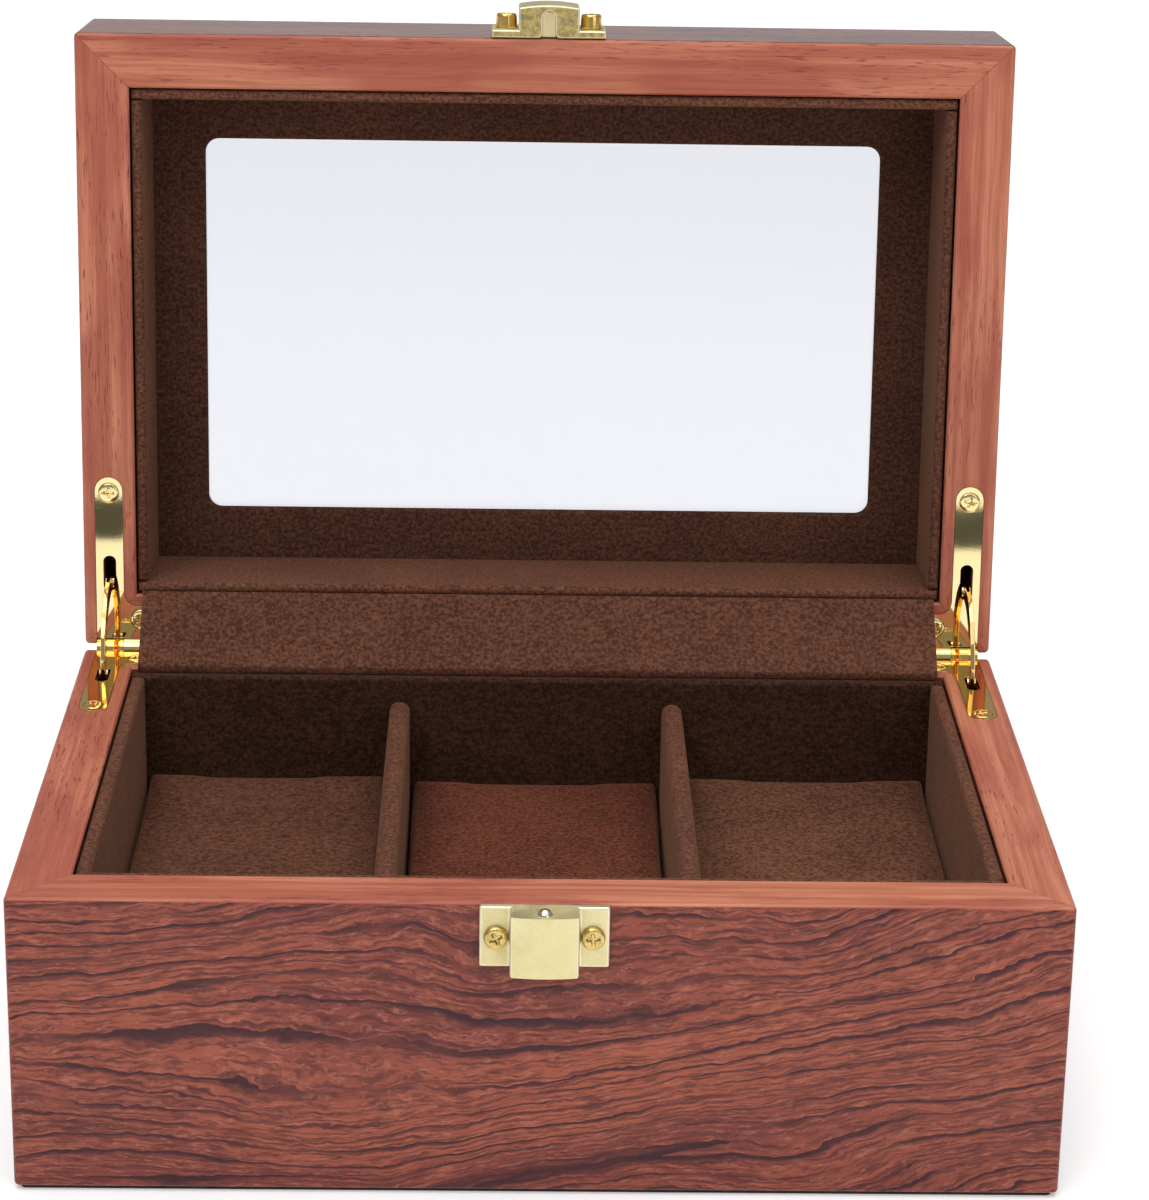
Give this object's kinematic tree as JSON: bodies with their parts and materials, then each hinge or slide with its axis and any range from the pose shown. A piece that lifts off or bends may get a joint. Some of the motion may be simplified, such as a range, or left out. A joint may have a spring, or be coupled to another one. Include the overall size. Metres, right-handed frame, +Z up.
{
  "type": "watch box",
  "caption": "Hinged wooden box with suede-lined compartments and seat cushions for watches, a window in its lid, stay hinges and a ball catch.",
  "frame": {"origin": "centre of the footprint, on the surface the box stands on", "axes": "+X to the right as seen from the front, -Y to the front with the catch, +Z up"},
  "size_m": [0.2, 0.1862, 0.2022],
  "materials": {
    "wood_veneer": "clear lacquered, reddish brown with dark grain",
    "plywood": "bare",
    "felt": "felt",
    "suede": "napped suede cloth, dark brown",
    "cushion_suede": "napped suede cloth over foam",
    "polished_gold": "polished",
    "satin_gold": "satin",
    "ball_steel": "polished",
    "spring_steel": "bright wire",
    "glass": "clear float glass"
  },
  "bodies": {
    "base": {"base_front_board": "wood_veneer", "base_back_board": "wood_veneer", "base_left_board": "wood_veneer", "base_right_board": "wood_veneer", "bottom_panel": "plywood", "bottom_felt": "felt", "base_front_lining": "suede", "base_back_lining": "suede", "base_left_lining": "suede", "base_right_lining": "suede", "floor_lining": "suede", "left_divider": "suede", "right_divider": "suede", "left_hinge_base_leaf": "polished_gold", "left_hinge_pin": "polished_gold", "left_hinge_base_front_screw": "polished_gold", "left_hinge_base_corner_screw": "polished_gold", "catch_base_left_screw": "polished_gold", "right_hinge_base_leaf": "polished_gold", "right_hinge_pin": "polished_gold", "right_hinge_base_front_screw": "polished_gold", "right_hinge_base_corner_screw": "polished_gold", "catch_base_right_screw": "polished_gold", "catch_base_plate": "satin_gold", "catch_spring": "spring_steel", "hinge_gusset": "suede"},
    "lid": {"lid_front_board": "wood_veneer", "lid_back_board": "wood_veneer", "lid_left_board": "wood_veneer", "lid_right_board": "wood_veneer", "lid_top_frame": "wood_veneer", "glass_pane": "glass", "window_lining": "suede", "lid_front_lining": "suede", "lid_back_lining": "suede", "lid_left_lining": "suede", "lid_right_lining": "suede", "left_hinge_lid_leaf": "polished_gold", "left_hinge_lid_front_screw": "polished_gold", "left_hinge_lid_corner_screw": "polished_gold", "catch_lid_left_screw": "polished_gold", "right_hinge_lid_leaf": "polished_gold", "right_hinge_lid_front_screw": "polished_gold", "right_hinge_lid_corner_screw": "polished_gold", "catch_lid_right_screw": "polished_gold", "catch_lid_plate": "satin_gold"},
    "left_stay": {"left_stay_arm": "polished_gold"},
    "right_stay": {"right_stay_arm": "polished_gold"},
    "ball": {"catch_ball": "ball_steel"},
    "left_seat": {"left_cushion": "cushion_suede"},
    "middle_seat": {"middle_cushion": "cushion_suede"},
    "right_seat": {"right_cushion": "cushion_suede"}
  },
  "joints": [
    {"name": "lid_hinge", "type": "hinge", "parent": "base", "child": "lid", "pos_m": [0, 0.0675, 0.0612], "axis": [1, 0, 0], "range_deg": [0, 95], "deforming": ["hinge_gusset"]},
    {"name": "left_stay_turn", "type": "hinge", "parent": "base", "child": "left_stay", "pos_m": [-0.09425, 0.0675, 0.0612], "axis": [1, 0, 0], "range_deg": [0, 47.5]},
    {"name": "right_stay_turn", "type": "hinge", "parent": "base", "child": "right_stay", "pos_m": [0.09425, 0.0675, 0.0612], "axis": [1, 0, 0], "range_deg": [0, 47.5]},
    {"name": "ball_press", "type": "slide", "parent": "base", "child": "ball", "axis": [0, 0, -1], "range_m": [0, 0.0009], "stiffness_N_per_m": 600, "springref_m": -0.0015, "deforming": ["catch_spring"]},
    {"name": "left_cushion_lift", "type": "slide", "parent": "base", "child": "left_seat", "axis": [0, 0, -1], "range_m": [-0.075, 0]},
    {"name": "middle_cushion_lift", "type": "slide", "parent": "base", "child": "middle_seat", "axis": [0, 0, -1], "range_m": [-0.075, 0]},
    {"name": "right_cushion_lift", "type": "slide", "parent": "base", "child": "right_seat", "axis": [0, 0, -1], "range_m": [-0.075, 0]}
  ],
  "couplings": [
    {"joint": "left_stay_turn", "follows": "lid_hinge", "ratio": 0.5},
    {"joint": "right_stay_turn", "follows": "lid_hinge", "ratio": 0.5}
  ]
}
